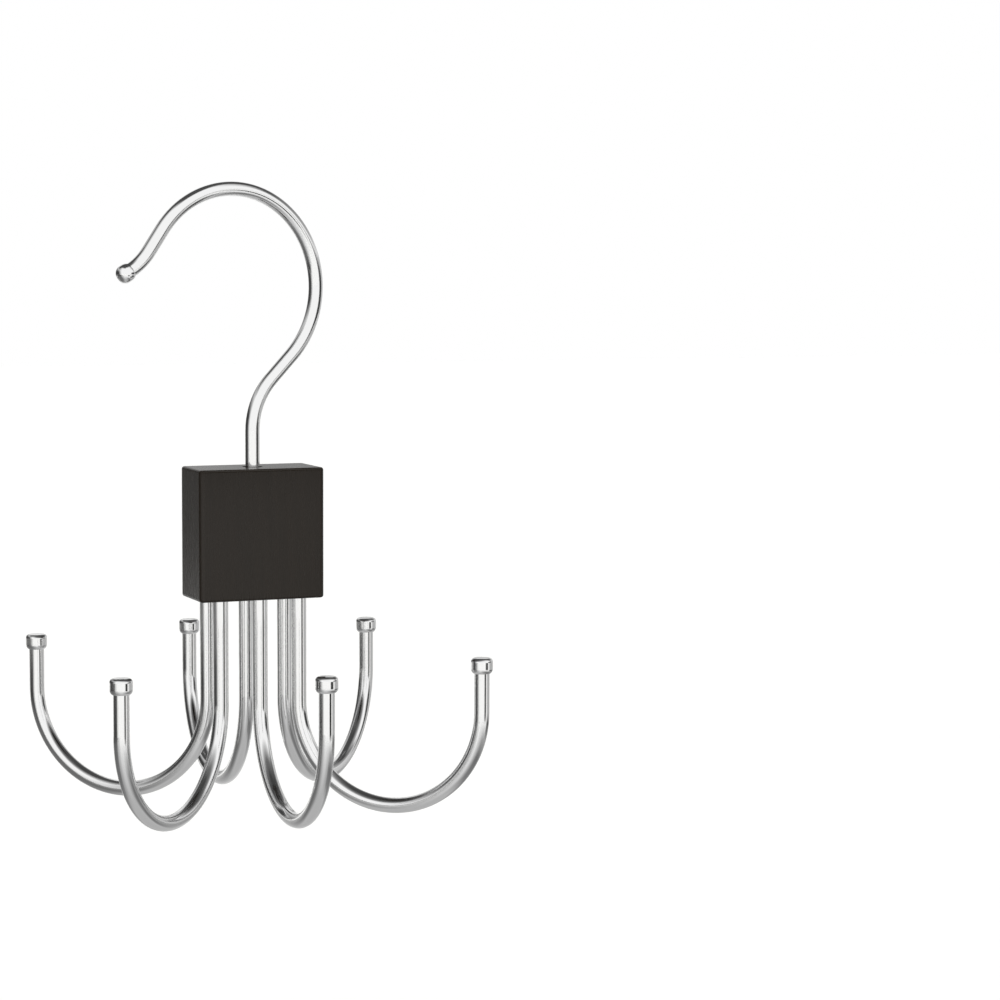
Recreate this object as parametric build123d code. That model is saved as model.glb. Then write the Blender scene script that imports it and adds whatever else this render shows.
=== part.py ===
"""Swivelling tie and belt hanger: a wire hook, a square wooden block and six wire arms.

Sizes are in millimetres and angles in degrees. The hanger is drawn with its swivel axis on Z and the block's
underside at zero height, and is written out with its origin where the hook rests on the rail.
"""

import os

from build123d import *

# Arms: two rows of three wires, each a stem, a half-circle bend and an upright leg
arm_wire = 4.5
column_pitch = 12.0
row_pitch = 13.0
stem_drop = 30.5
arm_bend_radius = 29.2
leg_rise = 11.5
corner_splay_angle = 45.0
socket_depth = 16.0
glue_gap = 0.04

# Block: its width and depth leave a wall of wood outside the stems
side_wall = 4.75
face_wall = 1.0
block_height = 38.5
upright_edge_radius = 1.4
flat_edge_radius = 0.8
block_width = 2 * column_pitch + arm_wire + 2 * side_wall
block_depth = row_pitch + arm_wire + 2 * face_wall

# Hook: neck, neck bend, slanted run, bow, tail and flare, all in one upright plane
hook_wire = 4.2
hook_turn_angle = 12.5
neck_rise = 10.5
neck_bend_radius = 21.0
neck_bend_angle = 45.5
slant_run = 10.0
bow_inner_diameter = 52.5
bow_angle = 190.5
tail_run = 7.5
flare_radius = 18.5
flare_angle = 25.4

# Swivel: the neck turns in a bush, and its riveted head hangs on a washer in a pocket under the block
bush_wall = 0.85
swivel_clearance = 0.05
bush_recess = 0.4
pocket_wall = 0.75
washer_thickness = 0.8
washer_play = 0.1
washer_edge_gap = 0.2
head_thickness = 1.6
head_crown_radius = 1.0
head_edge_gap = 0.5
head_play = 0.05
head_recess = 5.5
bush_diameter = hook_wire + 2 * (swivel_clearance + bush_wall)
pocket_diameter = row_pitch - arm_wire - 2 * pocket_wall
pocket_depth = head_recess + head_thickness + head_play + washer_thickness
head_top = head_recess + head_thickness

# Caps: a barrel on each arm and a ball on the hook, with a blind bore pressed over the end of the wire
arm_cap_wall = 0.95
arm_cap_height = 4.6
arm_cap_shoulder_radius = 1.1
hook_cap_wall = 0.6
hook_cap_height = 4.2
hook_cap_shoulder_radius = 2.2
cap_lip_wall = 0.3
cap_belly_height = 1.3
cap_crown_rise = 0.3
cap_top_wall = 1.4
cap_gap = 0.02

# Places of the arms, as shares of the column pitch and of half the row pitch
column_shares = {"left": -1, "middle": 0, "right": 1}
row_shares = {"front": -1, "back": 1}

upward = (Align.CENTER, Align.CENTER, Align.MIN)
downward = (Align.CENTER, Align.CENTER, Align.MAX)


def round_wire(path, size):
    """A round wire of one diameter that follows a smooth path."""
    start = Plane(origin=path @ 0, z_dir=path % 0)
    return sweep(start * Circle(size / 2), path=path)


def make_cap(wire, wall, height, shoulder_radius):
    """A cap standing on its open end: narrow lip, round belly, upright side, round shoulder, domed crown."""
    widest = wire / 2 + wall
    crown = TangentArc((0, height), (widest, height - cap_crown_rise), tangent=(1, 0))
    side = Line(crown @ 1, (widest, cap_belly_height))
    belly = TangentArc(side @ 1, (wire / 2 + cap_lip_wall, 0), tangent=side % 1)
    middle = Polyline(belly @ 1, (0, 0), crown @ 0)
    profile = make_face(crown + side + belly + middle)
    shoulder = profile.vertices().group_by(Axis.X)[-1].sort_by(Axis.Y)[-1]
    profile = fillet(shoulder, shoulder_radius)
    barrel = revolve(Plane.XZ * profile, Axis.Z)
    return barrel - Cylinder(wire / 2 + cap_gap, height - cap_top_wall, align=upward)


def arm_place(column, row):
    """Where a stem meets the block's underside, turned so that its arm reaches along local X."""
    heading = row * (90 - column * corner_splay_angle)
    return Pos(column * column_pitch, row * row_pitch / 2, 0) * Rot(0, 0, heading)


def make_arm():
    """One arm in its own upright plane, with its stem on the local Z axis."""
    reach = 2 * arm_bend_radius
    leg_end = leg_rise + arm_cap_height - cap_top_wall - stem_drop
    stem = Line((0, socket_depth), (0, -stem_drop))
    bend = ThreePointArc(stem @ 1, (arm_bend_radius, -stem_drop - arm_bend_radius), (reach, -stem_drop))
    leg = Line(bend @ 1, (reach, leg_end))
    return round_wire(Plane.XZ * (stem + bend + leg), arm_wire)


def make_arm_cap():
    """The cap at the top of an arm's leg, in the arm's own plane."""
    cap = make_cap(arm_wire, arm_cap_wall, arm_cap_height, arm_cap_shoulder_radius)
    return Pos(2 * arm_bend_radius, 0, leg_rise - stem_drop) * cap


def hook_lines():
    """The hook's centre line in its plane, from riveted head to free end, as tangent lines and arcs."""
    neck = Line((0, head_top), (0, block_height + neck_rise))
    neck_bend = JernArc(neck @ 1, neck % 1, neck_bend_radius, -neck_bend_angle)
    slant = Line(neck_bend @ 1, neck_bend @ 1 + (neck_bend % 1) * slant_run)
    bow = JernArc(slant @ 1, slant % 1, (bow_inner_diameter + hook_wire) / 2, bow_angle)
    tail = Line(bow @ 1, bow @ 1 + (bow % 1) * tail_run)
    flare = JernArc(tail @ 1, tail % 1, flare_radius, -flare_angle)
    end = Line(flare @ 1, flare @ 1 + (flare % 1) * (hook_cap_height - cap_top_wall))
    return neck, neck_bend, slant, bow, tail, flare, end


def make_hook(lines):
    """The hook's wire, with the head that is riveted on its lower end."""
    path = Curve() + list(lines)
    head = Cylinder(pocket_diameter / 2 - head_edge_gap, head_thickness, align=downward)
    head = fillet(head.edges().sort_by(Axis.Z)[0], head_crown_radius)
    return round_wire(Plane.XZ * path, hook_wire) + Pos(0, 0, head_top) * head


def make_hook_tip(flare):
    """The hook's cap, seated on the flare's end and in line with it."""
    flare = Plane.XZ * flare
    seat = Plane(origin=flare @ 1, z_dir=flare % 1)
    return seat * make_cap(hook_wire, hook_cap_wall, hook_cap_height, hook_cap_shoulder_radius)


def make_block():
    """The block with its rounded edges, the bush's bore, the head's pocket and the six stem sockets."""
    block = Box(block_width, block_depth, block_height, align=upward)
    block = fillet(block.edges().filter_by(Axis.Z), upright_edge_radius)
    ends = block.faces().filter_by(Axis.Z)
    block = fillet(ends.edges(), flat_edge_radius)
    block -= Cylinder(bush_diameter / 2, block_height, align=upward)
    block -= Cylinder(pocket_diameter / 2, pocket_depth, align=upward)
    socket = Cylinder(arm_wire / 2 + glue_gap, socket_depth, align=upward)
    for column in column_shares.values():
        for row in row_shares.values():
            block -= arm_place(column, row) * socket
    return block


def make_bush():
    """The tube that lines the block's bore, with its top just below the block's face."""
    length = block_height - bush_recess - pocket_depth
    tube = Cylinder(bush_diameter / 2, length, align=upward)
    tube -= Cylinder(hook_wire / 2 + swivel_clearance, length, align=upward)
    return Pos(0, 0, pocket_depth) * tube


def make_washer():
    """The washer between the riveted head and the pocket's ceiling."""
    ring = Cylinder(pocket_diameter / 2 - washer_edge_gap, washer_thickness, align=downward)
    ring -= Cylinder(hook_wire / 2 + washer_play, washer_thickness, align=downward)
    return Pos(0, 0, pocket_depth) * ring


def rail_seat(bow):
    """The highest point inside the bow, where the hook rests on a rail."""
    top = Pos(bow.arc_center.X, 0, bow.arc_center.Y + bow_inner_diameter / 2)
    return (Rot(0, 0, hook_turn_angle) * top).position


lines = hook_lines()
neck, neck_bend, slant, bow, tail, flare, end = lines
turned = Rot(0, 0, hook_turn_angle)
nodes = {
    "hook_wire": turned * make_hook(lines),
    "hook_tip": turned * make_hook_tip(flare),
    "block": make_block(),
    "swivel_bush": make_bush(),
    "thrust_washer": make_washer(),
}
arm = make_arm()
arm_cap = make_arm_cap()
for row_name, row in row_shares.items():
    for column_name, column in column_shares.items():
        place = arm_place(column, row)
        nodes[f"arm_{row_name}_{column_name}"] = place * arm
        nodes[f"cap_{row_name}_{column_name}"] = place * arm_cap

os.makedirs("parts", exist_ok=True)
to_origin = Pos(-rail_seat(bow))
for name, solid in nodes.items():
    export_step(to_origin * solid, f"parts/{name}.step")
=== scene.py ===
"""Swivelling tie and belt hanger: the finishes of its pieces and the studio that it hangs in.

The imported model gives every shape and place, in metres, with the origin where the hook rests on its rail.
Each finish is a node material, with its patterns sized in millimetres.
"""

import math

import bmesh
import bpy
from mathutils import Matrix, Vector


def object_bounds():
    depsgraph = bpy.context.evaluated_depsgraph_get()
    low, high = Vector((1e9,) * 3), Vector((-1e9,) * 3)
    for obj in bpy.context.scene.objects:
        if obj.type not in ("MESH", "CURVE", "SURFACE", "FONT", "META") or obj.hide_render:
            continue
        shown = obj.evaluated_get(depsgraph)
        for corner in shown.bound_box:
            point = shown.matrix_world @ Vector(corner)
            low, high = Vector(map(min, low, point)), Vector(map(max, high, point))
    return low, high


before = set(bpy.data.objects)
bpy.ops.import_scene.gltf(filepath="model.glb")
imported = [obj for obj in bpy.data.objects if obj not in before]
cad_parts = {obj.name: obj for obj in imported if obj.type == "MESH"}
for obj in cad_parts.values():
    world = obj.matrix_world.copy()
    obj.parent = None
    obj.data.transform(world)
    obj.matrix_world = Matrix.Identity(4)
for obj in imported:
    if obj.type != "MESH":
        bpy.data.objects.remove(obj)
cad_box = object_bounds()
cad_middle = (cad_box[0] + cad_box[1]) / 2

bl_info = {
    "name": "Tie hanger",
    "version": (1, 0, 0),
    "blender": (4, 5, 0),
    "location": "3D View > Sidebar > Tie hanger",
    "description": "Finishes a swivelling tie and belt hanger and hangs it in a white studio",
    "category": "3D View",
}

MM = 0.001

# Width of the camera's full-frame sensor in mm
sensor_width = 36.0

# Degrees round the hanger that one face of a studio card spans
card_step = 5

# Values of a noise between which the haze and the fibres go from least to most
haze_span = (0.35, 0.7)
fibre_span = (0.3, 0.7)

# The hanger's pieces by finish
wires = ["hook_wire"] + [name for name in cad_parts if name.startswith("arm_")]
caps = ["hook_tip"] + [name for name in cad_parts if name.startswith("cap_")]
swivel_parts = ["swivel_bush", "thrust_washer"]

# Studio cards round the hanger, sheets of glowing grey which only reflections see: painted reflections in the
# chrome.
# Each gives its name, its two sides in degrees to the right of the camera's side, the degrees over which it
# fades in from them, and arcs that run from the floor's middle outwards, up the wall and in overhead. Each
# arc gives its reach and height in mm, its grey and its cover
studio_cards = (
    # Painted shade on a glowing sheet at the floor's height, seen only in reflections, greyest under the
    # hanger
    ("painted_shade_floor_card", -180, 180, 0, (
        (0, -299, "#B4B4B4", 1), (90, -299, "#B8B8B8", 1), (190, -299, "#CCCCCC", 1),
        (500, -299, "#E8E8E8", 0.6), (780, -299, "#F0F0F0", 0))),
    # The dark side on the left: the floor, the foot of the wall and the wall
    ("left_floor_flag", -175, -15, 55, (
        (70, -298, "#909090", 0), (130, -298, "#888888", 1), (200, -298, "#707070", 1),
        (780, -298, "#606060", 1))),
    ("left_foot_flag", -150, -34, 34, (
        (620, -297, "#404040", 0), (790, -297, "#404040", 1), (790, -250, "#404040", 1),
        (790, -190, "#404040", 0))),
    ("left_flag", -178, -46, 38, (
        (800, -260, "#404040", 0), (800, -200, "#404040", 1), (800, 120, "#404040", 1),
        (800, 500, "#484848", 0.4), (800, 800, "#484848", 0.2))),
    # Dark strips on the right: near the arms, on the floor, at the foot of the wall and up it
    ("right_near_strip", 5, 155, 50, (
        (90, -296, "#909090", 0), (140, -296, "#808080", 1), (220, -296, "#707070", 1),
        (220, -240, "#A0A0A0", 1), (220, -195, "#A0A0A0", 0))),
    ("right_floor_strip", 70, 135, 16, (
        (300, -295, "#505050", 0), (400, -295, "#505050", 1), (600, -295, "#505050", 1),
        (780, -295, "#B0B0B0", 1), (780, -200, "#B8B8B8", 1), (780, -150, "#B8B8B8", 0))),
    ("right_foot_strip", 35, 68, 9, (
        (560, -294, "#303030", 0), (700, -294, "#303030", 1), (790, -294, "#303030", 1),
        (790, -190, "#303030", 1), (790, -150, "#303030", 0))),
    ("right_strip", 60, 112, 8, (
        (795, -200, "#383838", 0), (795, -150, "#383838", 1), (795, 10, "#383838", 1),
        (795, 90, "#404040", 0))),
    # Pale grey behind those strips, on the floor and up the wall
    ("right_floor_card", 110, 165, 25, (
        (150, -293, "#A0A0A0", 0), (300, -293, "#A0A0A0", 1), (840, -293, "#B0B0B0", 1),
        (840, -160, "#C0C0C0", 1))),
    ("right_card", 85, 190, 10, (
        (850, -160, "#C0C0C0", 1), (850, -60, "#CCCCCC", 1), (850, 100, "#C8C8C8", 1))),
    # The dark ceiling and the wall under its back
    ("back_top_flag", 80, 188, 16, (
        (810, 60, "#404040", 0), (810, 200, "#404040", 0.6), (810, 400, "#404040", 0.8),
        (810, 700, "#404040", 0.9))),
    ("ceiling_flag", 60, 310, 60, (
        (800, 450, "#404040", 0), (800, 700, "#404040", 1), (0, 900, "#505050", 1))),
    ("overhead_flag", -180, 180, 0, (
        (420, 910, "#404040", 0), (200, 910, "#404040", 1), (0, 910, "#404040", 1))),
    # Painted shade: a dark disc above the arms, just under the height of the block's top, which darkens the
    # upper sides of the arms and caps in reflections
    ("painted_shade_canopy", -180, 180, 0, (
        (135, -79.5, "#585858", 0), (65, -79.5, "#484848", 0.9), (5, -79.5, "#404040", 1))),
)


def linear(hex_colour):
    """The linear red, green and blue of an sRGB hex colour."""
    shares = [int(hex_colour[place : place + 2], 16) / 255 for place in (1, 3, 5)]
    return [share / 12.92 if share <= 0.04045 else ((share + 0.055) / 1.055) ** 2.4 for share in shares]


def add(tree, kind, inputs=None, **settings):
    """Add a node with its settings. Each input is a value or the output that feeds it."""
    node = tree.nodes.new(kind)
    for name, value in settings.items():
        setattr(node, name, value)
    for socket, value in (inputs or {}).items():
        if isinstance(value, bpy.types.NodeSocket):
            tree.links.new(value, node.inputs[socket])
        else:
            node.inputs[socket].default_value = value
    return node


def new_tree(owner):
    """The empty node tree of a new material or world."""
    owner.use_nodes = True
    owner.node_tree.nodes.clear()
    return owner.node_tree


def give(names, material):
    """Put one material on CAD nodes, in place of the plain one that they came with."""
    for name in names:
        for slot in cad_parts[name].material_slots:
            slot.material = material


def bright_chrome(name, finish):
    """Bright chrome plate on polished steel: a near-mirror, softened by faint haze in patches.

    Its reflectance is set above that of bare chromium, because the photographed lights are white on it.
    """
    material = bpy.data.materials.new(name)
    tree = new_tree(material)
    place = add(tree, "ShaderNodeTexCoord").outputs["Object"]
    haze = add(tree, "ShaderNodeTexNoise", {"Vector": place, "Scale": 1 / finish.haze_size, "Detail": 1.0})
    gloss = add(tree, "ShaderNodeMapRange", {
        "Value": haze.outputs["Fac"],
        "From Min": haze_span[0],
        "From Max": haze_span[1],
        "To Min": finish.roughness,
        "To Max": finish.haze_roughness,
    })
    shader = add(tree, "ShaderNodeBsdfPrincipled", {
        "Base Color": (*finish.colour, 1),
        "Metallic": 1.0,
        "Roughness": gloss.outputs["Result"],
    })
    add(tree, "ShaderNodeOutputMaterial", {"Surface": shader.outputs["BSDF"]})
    return material


def stained_wood(finish):
    """Beech stained brown-black under satin lacquer, whose dark straight grain only shows close to."""
    material = bpy.data.materials.new("satin_lacquered_beech")
    tree = new_tree(material)
    place = add(tree, "ShaderNodeTexCoord").outputs["Object"]
    # The grain stands upright, so every pattern is drawn out along Z
    along = add(tree, "ShaderNodeMapping", {"Vector": place, "Scale": (1, 1, finish.grain_stretch)})
    figure = add(tree, "ShaderNodeTexNoise", {
        "Vector": along.outputs["Vector"],
        "Scale": 1 / finish.ring_spacing,
        "Detail": 4.0,
        "Distortion": 0.4,
    })
    fibres = add(tree, "ShaderNodeTexNoise", {
        "Vector": along.outputs["Vector"],
        "Scale": 1 / finish.fibre_spacing,
        "Detail": 2.0,
    })
    colour = add(tree, "ShaderNodeMix", {
        "Factor": figure.outputs["Fac"],
        "A": (*finish.stain, 1),
        "B": (*finish.late_wood, 1),
    }, data_type="RGBA")
    shine = add(tree, "ShaderNodeMapRange", {
        "Value": fibres.outputs["Fac"],
        "From Min": fibre_span[0],
        "From Max": fibre_span[1],
        "To Min": finish.roughness - finish.roughness_swing,
        "To Max": finish.roughness + finish.roughness_swing,
    })
    relief = add(tree, "ShaderNodeBump", {
        "Height": fibres.outputs["Fac"],
        "Distance": finish.fibre_depth,
        "Strength": 1.0,
    })
    shader = add(tree, "ShaderNodeBsdfPrincipled", {
        "Base Color": colour.outputs["Result"],
        "Roughness": shine.outputs["Result"],
        "IOR": finish.lacquer_index,
        "Normal": relief.outputs["Normal"],
    })
    add(tree, "ShaderNodeOutputMaterial", {"Surface": shader.outputs["BSDF"]})
    return material


def zinc_plate(finish):
    """Zinc plate on turned steel: bluish grey and satin, with a fine bloom that makes its shine uneven."""
    material = bpy.data.materials.new("turned_zinc_plated_steel")
    tree = new_tree(material)
    place = add(tree, "ShaderNodeTexCoord").outputs["Object"]
    bloom = add(tree, "ShaderNodeTexNoise", {"Vector": place, "Scale": 1 / finish.bloom_size, "Detail": 3.0})
    shine = add(tree, "ShaderNodeMapRange", {
        "Value": bloom.outputs["Fac"],
        "To Min": finish.roughness - finish.roughness_swing,
        "To Max": finish.roughness + finish.roughness_swing,
    })
    shader = add(tree, "ShaderNodeBsdfPrincipled", {
        "Base Color": (*finish.colour, 1),
        "Metallic": 1.0,
        "Roughness": shine.outputs["Result"],
    })
    add(tree, "ShaderNodeOutputMaterial", {"Surface": shader.outputs["BSDF"]})
    return material


def metres(name, description, default_mm):
    """A length property, written here in millimetres."""
    return bpy.props.FloatProperty(
        name=name, description=description, default=default_mm * MM, min=0.0, precision=5,
        subtype="DISTANCE", unit="LENGTH",
    )


def share(name, description, default):
    """A property from none to all."""
    return bpy.props.FloatProperty(
        name=name, description=description, default=default, min=0.0, max=1.0, subtype="FACTOR"
    )


def degrees(name, description, default):
    """An angle property, written here in degrees."""
    return bpy.props.FloatProperty(
        name=name, description=description, default=math.radians(default), subtype="ANGLE", unit="ROTATION"
    )


def colour(name, description, default):
    """A colour property, written here as sRGB hex."""
    return bpy.props.FloatVectorProperty(
        name=name, description=description, default=linear(default), size=3, min=0.0, max=1.0, subtype="COLOR"
    )


class ChromeFinish(bpy.types.PropertyGroup):
    """The chrome plate on the wires and caps"""

    colour: colour("Chrome", "Colour of the plate facing on", "#F3F3F3")
    roughness: share("Polish", "Roughness where the plate is clean", 0.09)
    haze_roughness: share("Haze", "Roughness where the plate is handled", 0.13)
    haze_size: metres("Haze size", "Width of one patch of haze", 7.0)


class WoodFinish(bpy.types.PropertyGroup):
    """The lacquered wood of the block"""

    stain: colour("Stain", "Colour of the stained wood", "#1E1913")
    late_wood: colour("Late wood", "Colour of the wood between the rings", "#261F18")
    roughness: share("Satin", "Roughness of the lacquer", 0.28)
    roughness_swing: share("Satin swing", "How far the roughness strays either way from fibre to fibre", 0.02)
    lacquer_index: bpy.props.FloatProperty(
        name="Lacquer index", description="Refractive index of the lacquer, low for a soft shine",
        default=1.38, min=1.0, max=2.0, subtype="FACTOR",
    )
    ring_spacing: metres("Ring spacing", "Distance from one yearly ring to the next", 2.2)
    # The fibres of beech are finer than this, too fine to show, so they are drawn coarser
    fibre_spacing: metres("Fibre spacing", "Distance between raised fibres", 0.45)
    fibre_depth: metres("Fibre depth", "How far the fibres stand out under the lacquer", 0.0007)
    grain_stretch: share("Grain stretch", "How fast the grain changes along the wood, beside across it", 0.06)


class ZincFinish(bpy.types.PropertyGroup):
    """The zinc plate on the swivel's parts"""

    colour: colour("Zinc", "Colour of the plate facing on", "#A9AEB3")
    roughness: share("Satin", "Roughness of the plate", 0.34)
    roughness_swing: share("Satin swing", "How far the roughness strays either way with the bloom", 0.06)
    bloom_size: metres("Bloom size", "Width of one crystal of the zinc", 0.8)


class Studio(bpy.types.PropertyGroup):
    """The camera, floor and light"""

    camera_place: bpy.props.FloatVectorProperty(
        name="Camera place", description="Where the camera stands", default=(-0.249787, -0.783888, -0.015817),
        size=3, subtype="XYZ", unit="LENGTH", precision=5,
    )
    camera_heading: degrees("Heading", "Turn of the camera to the right of straight ahead", 23.117)
    camera_pitch: degrees("Pitch", "Tilt of the camera above level", -5.047)
    camera_roll: degrees("Roll", "Turn of the camera about its own axis", 0.259)
    lens: bpy.props.FloatProperty(
        name="Lens", description="Focal length of the lens", default=101.089, min=1.0, unit="CAMERA"
    )
    floor_drop: metres("Floor drop", "Height of the rail above the floor", 300.0)
    floor_width: metres("Floor width", "Width of the floor", 12000.0)
    floor_colour: colour("Floor", "Colour of the floor", "#E8E8E6")
    floor_glow: share("Floor glow", "Light that the floor adds where the eye or a reflection sees it", 0.34)
    ambient: share("Ambient", "Strength of the light from all round", 0.55)
    key: share("Key", "Strength of the light from the front left", 1.0)
    key_heading: degrees("Key heading", "Turn of the key lamp to the right of the camera's side", -35)
    key_height: degrees("Key height", "Height of the key lamp above level", 45)
    fill: share("Fill", "Strength of the light from the right", 0.5)
    fill_heading: degrees("Fill heading", "Turn of the fill lamp to the right of the camera's side", 60)
    fill_height: degrees("Fill height", "Height of the fill lamp above level", 30)
    lamp_softness: degrees("Lamp softness", "How wide each lamp looks from the hanger", 60)


class HangerSettings(bpy.types.PropertyGroup):
    """Everything on the hanger and in its studio that a user would change"""

    chrome: bpy.props.PointerProperty(type=ChromeFinish)
    wood: bpy.props.PointerProperty(type=WoodFinish)
    zinc: bpy.props.PointerProperty(type=ZincFinish)
    studio: bpy.props.PointerProperty(type=Studio)


class HANGER_OT_finish_wires(bpy.types.Operator):
    """Plate the hook's wire and the six arms with bright chrome"""

    bl_idname = "hanger.finish_wires"
    bl_label = "Finish hook and arms"

    def execute(self, context):
        give(wires, bright_chrome("bright_chrome_on_drawn_wire", context.scene.hanger.chrome))
        return {"FINISHED"}


class HANGER_OT_finish_caps(bpy.types.Operator):
    """Plate the caps with bright chrome"""

    bl_idname = "hanger.finish_caps"
    bl_label = "Finish caps"

    def execute(self, context):
        give(caps, bright_chrome("bright_chrome_on_pressed_caps", context.scene.hanger.chrome))
        return {"FINISHED"}


class HANGER_OT_finish_block(bpy.types.Operator):
    """Stain and lacquer the block"""

    bl_idname = "hanger.finish_block"
    bl_label = "Finish block"

    def execute(self, context):
        give(["block"], stained_wood(context.scene.hanger.wood))
        return {"FINISHED"}


class HANGER_OT_finish_swivel(bpy.types.Operator):
    """Plate the bush and washer of the swivel with zinc"""

    bl_idname = "hanger.finish_swivel"
    bl_label = "Finish swivel"

    def execute(self, context):
        give(swivel_parts, zinc_plate(context.scene.hanger.zinc))
        return {"FINISHED"}


def link(scene, name, data):
    """A new object of this scene."""
    made = bpy.data.objects.new(name, data)
    scene.collection.objects.link(made)
    return made


def add_camera(scene, studio):
    """The camera at the photograph's viewing angle."""
    lens = bpy.data.cameras.new("camera")
    lens.sensor_width = sensor_width
    lens.lens = studio.lens
    camera = link(scene, "camera", lens)
    camera.matrix_world = (
        Matrix.Translation(studio.camera_place)
        @ Matrix.Rotation(-studio.camera_heading, 4, "Z")
        @ Matrix.Rotation(math.pi / 2 + studio.camera_pitch, 4, "X")
        @ Matrix.Rotation(studio.camera_roll, 4, "Z")
    )
    scene.camera = camera


def seen(tree):
    """One for rays from the camera, a reflection or glass, and none for the light that falls on things."""
    path = add(tree, "ShaderNodeLightPath")
    direct = add(tree, "ShaderNodeMath", {
        0: path.outputs["Is Camera Ray"],
        1: path.outputs["Is Glossy Ray"],
    }, operation="MAXIMUM")
    return add(tree, "ShaderNodeMath", {
        0: direct.outputs[0],
        1: path.outputs["Is Transmission Ray"],
    }, operation="MAXIMUM").outputs[0]


def light_world(scene, studio):
    """A plain world: white to the eye and in reflections, and dimmer as light."""
    world = bpy.data.worlds.new("white_studio")
    tree = new_tree(world)
    around = add(tree, "ShaderNodeBackground", {"Color": (1, 1, 1, 1), "Strength": studio.ambient})
    backdrop = add(tree, "ShaderNodeBackground", {"Color": (1, 1, 1, 1), "Strength": 1.0})
    either = add(tree, "ShaderNodeMixShader", {
        "Fac": seen(tree),
        1: around.outputs["Background"],
        2: backdrop.outputs["Background"],
    })
    add(tree, "ShaderNodeOutputWorld", {"Surface": either.outputs["Shader"]})
    scene.world = world


def direction(scene, heading, height=0.0):
    """The direction at a heading to the right of the camera's side and a height above level, in radians."""
    towards = Vector(scene.hanger.studio.camera_place) - cad_middle
    angle = math.atan2(towards.y, towards.x) + heading
    return Vector((math.cos(angle) * math.cos(height), math.sin(angle) * math.cos(height), math.sin(height)))


def add_lamp(scene, name, strength, heading, height):
    """A wide soft lamp far off, at a heading to the right of the camera's side and a height above level."""
    light = bpy.data.lights.new(name, "SUN")
    light.energy = strength
    light.angle = scene.hanger.studio.lamp_softness
    lamp = link(scene, name, light)
    lamp.rotation_euler = direction(scene, heading, height).to_track_quat("Z", "Y").to_euler()
    lamp.visible_glossy = False


def add_card(scene, name, left, right, soft, arcs):
    """One studio card: flat faces from arc to arc that show only on the side towards the hanger."""
    middle = Vector((cad_middle.x, cad_middle.y, 0))
    width = right - left
    steps = round(width / card_step)
    turns = [width * step / steps for step in range(steps + 1)]
    mesh = bmesh.new()
    grey_layer = mesh.verts.layers.float.new("grey")
    cover_layer = mesh.verts.layers.float.new("cover")
    rows = []
    for reach, height, grey, cover in arcs:
        row = []
        for turn in turns:
            outwards = direction(scene, math.radians(left + turn))
            corner = mesh.verts.new(middle + Vector((0, 0, height * MM)) + reach * MM * outwards)
            fade = min(1.0, turn / soft, (width - turn) / soft) if soft else 1.0
            corner[grey_layer] = linear(grey)[0]
            corner[cover_layer] = cover * fade
            row.append(corner)
        rows.append(row)
    for inner, outer in zip(rows, rows[1:]):
        for step in range(steps):
            mesh.faces.new((outer[step], outer[step + 1], inner[step + 1], inner[step]))
    data = bpy.data.meshes.new(name)
    mesh.to_mesh(data)
    mesh.free()
    data.materials.append(bpy.data.materials["painted_reflection_card"])
    card = link(scene, name, data)
    card.visible_camera = False
    card.visible_diffuse = False
    card.visible_transmission = False
    card.visible_shadow = False


def card_painted_reflection():
    """Glowing grey of the studio cards, a painted reflection: as grey and as covering as each corner says,
    and clear from behind.
    """
    material = bpy.data.materials.new("painted_reflection_card")
    tree = new_tree(material)
    grey = add(tree, "ShaderNodeAttribute", attribute_name="grey")
    cover = add(tree, "ShaderNodeAttribute", attribute_name="cover")
    back = add(tree, "ShaderNodeNewGeometry")
    front = add(tree, "ShaderNodeMath", {0: 1.0, 1: back.outputs["Backfacing"]}, operation="SUBTRACT")
    shown = add(tree, "ShaderNodeMath", {0: cover.outputs["Fac"], 1: front.outputs[0]}, operation="MULTIPLY")
    glow = add(tree, "ShaderNodeEmission", {"Color": (1, 1, 1, 1), "Strength": grey.outputs["Fac"]})
    clear = add(tree, "ShaderNodeBsdfTransparent")
    sheet_shader = add(tree, "ShaderNodeMixShader", {
        "Fac": shown.outputs[0],
        1: clear.outputs["BSDF"],
        2: glow.outputs["Emission"],
    })
    add(tree, "ShaderNodeOutputMaterial", {"Surface": sheet_shader.outputs["Shader"]})


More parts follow.
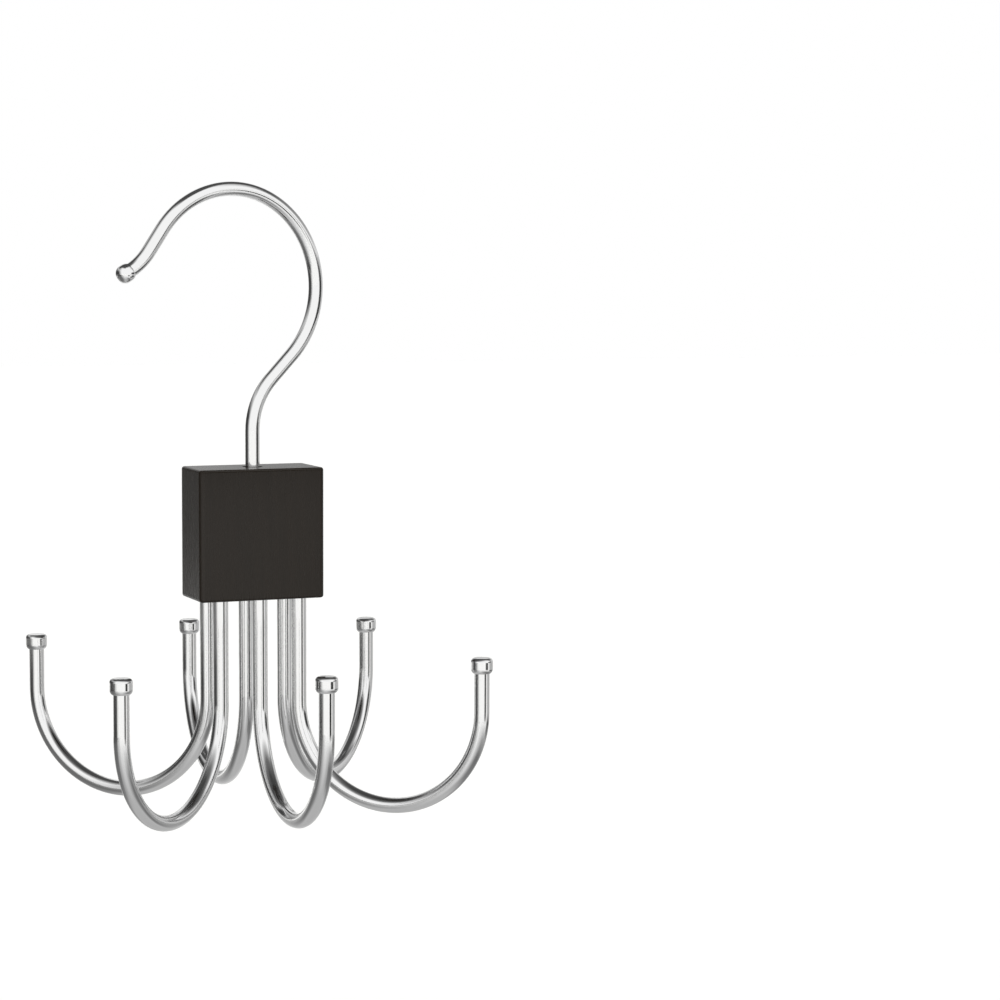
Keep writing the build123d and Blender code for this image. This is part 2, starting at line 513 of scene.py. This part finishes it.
def add_floor(scene, studio):
    """A plain pale floor that looks as white as the backdrop, apart from the hanger's shadow."""
    half = studio.floor_width / 2
    mesh = bmesh.new()
    corners = [(-half, -half), (half, -half), (half, half), (-half, half)]
    mesh.faces.new([mesh.verts.new((x, y, -studio.floor_drop)) for x, y in corners])
    data = bpy.data.meshes.new("floor")
    mesh.to_mesh(data)
    mesh.free()
    material = bpy.data.materials.new("pale_studio_paper")
    tree = new_tree(material)
    glow = add(tree, "ShaderNodeMath", {0: seen(tree), 1: studio.floor_glow}, operation="MULTIPLY")
    sheet_shader = add(tree, "ShaderNodeBsdfDiffuse", {"Color": (*studio.floor_colour, 1)})
    light = add(tree, "ShaderNodeEmission", {"Color": (1, 1, 1, 1), "Strength": glow.outputs[0]})
    both = add(tree, "ShaderNodeAddShader", {0: sheet_shader.outputs["BSDF"], 1: light.outputs["Emission"]})
    add(tree, "ShaderNodeOutputMaterial", {"Surface": both.outputs["Shader"]})
    data.materials.append(material)
    link(scene, "floor", data)


class HANGER_OT_build_studio(bpy.types.Operator):
    """Set up the camera, the pale floor, the soft lamps and the cards that the chrome reflects"""

    bl_idname = "hanger.build_studio"
    bl_label = "Build studio"

    def execute(self, context):
        scene = context.scene
        studio = scene.hanger.studio
        add_camera(scene, studio)
        light_world(scene, studio)
        add_lamp(scene, "key_lamp", studio.key, studio.key_heading, studio.key_height)
        add_lamp(scene, "fill_lamp", studio.fill, studio.fill_heading, studio.fill_height)
        add_floor(scene, studio)
        card_painted_reflection()
        for card in studio_cards:
            add_card(scene, *card)
        scene.view_settings.view_transform = "Standard"
        return {"FINISHED"}


class HANGER_PT_sidebar(bpy.types.Panel):
    """The hanger's operators, in the order in which they run"""

    bl_idname = "HANGER_PT_sidebar"
    bl_label = "Tie hanger"
    bl_space_type = "VIEW_3D"
    bl_region_type = "UI"
    bl_category = "Tie hanger"

    def draw(self, context):
        for operator in operators:
            self.layout.operator(operator.bl_idname)


groups = (ChromeFinish, WoodFinish, ZincFinish, Studio, HangerSettings)
operators = (
    HANGER_OT_finish_wires,
    HANGER_OT_finish_caps,
    HANGER_OT_finish_block,
    HANGER_OT_finish_swivel,
    HANGER_OT_build_studio,
)
classes = (*groups, *operators, HANGER_PT_sidebar)


def register():
    """Register every class, and put the settings on the scene."""
    for each in classes:
        bpy.utils.register_class(each)
    bpy.types.Scene.hanger = bpy.props.PointerProperty(type=HangerSettings)


def unregister():
    """Take the settings off the scene, and unregister every class in reverse."""
    del bpy.types.Scene.hanger
    for each in reversed(classes):
        bpy.utils.unregister_class(each)


def main():
    """Run every operator in order."""
    register()
    bpy.ops.hanger.finish_wires()
    bpy.ops.hanger.finish_caps()
    bpy.ops.hanger.finish_block()
    bpy.ops.hanger.finish_swivel()
    bpy.ops.hanger.build_studio()


if __name__ == "__main__":
    main()
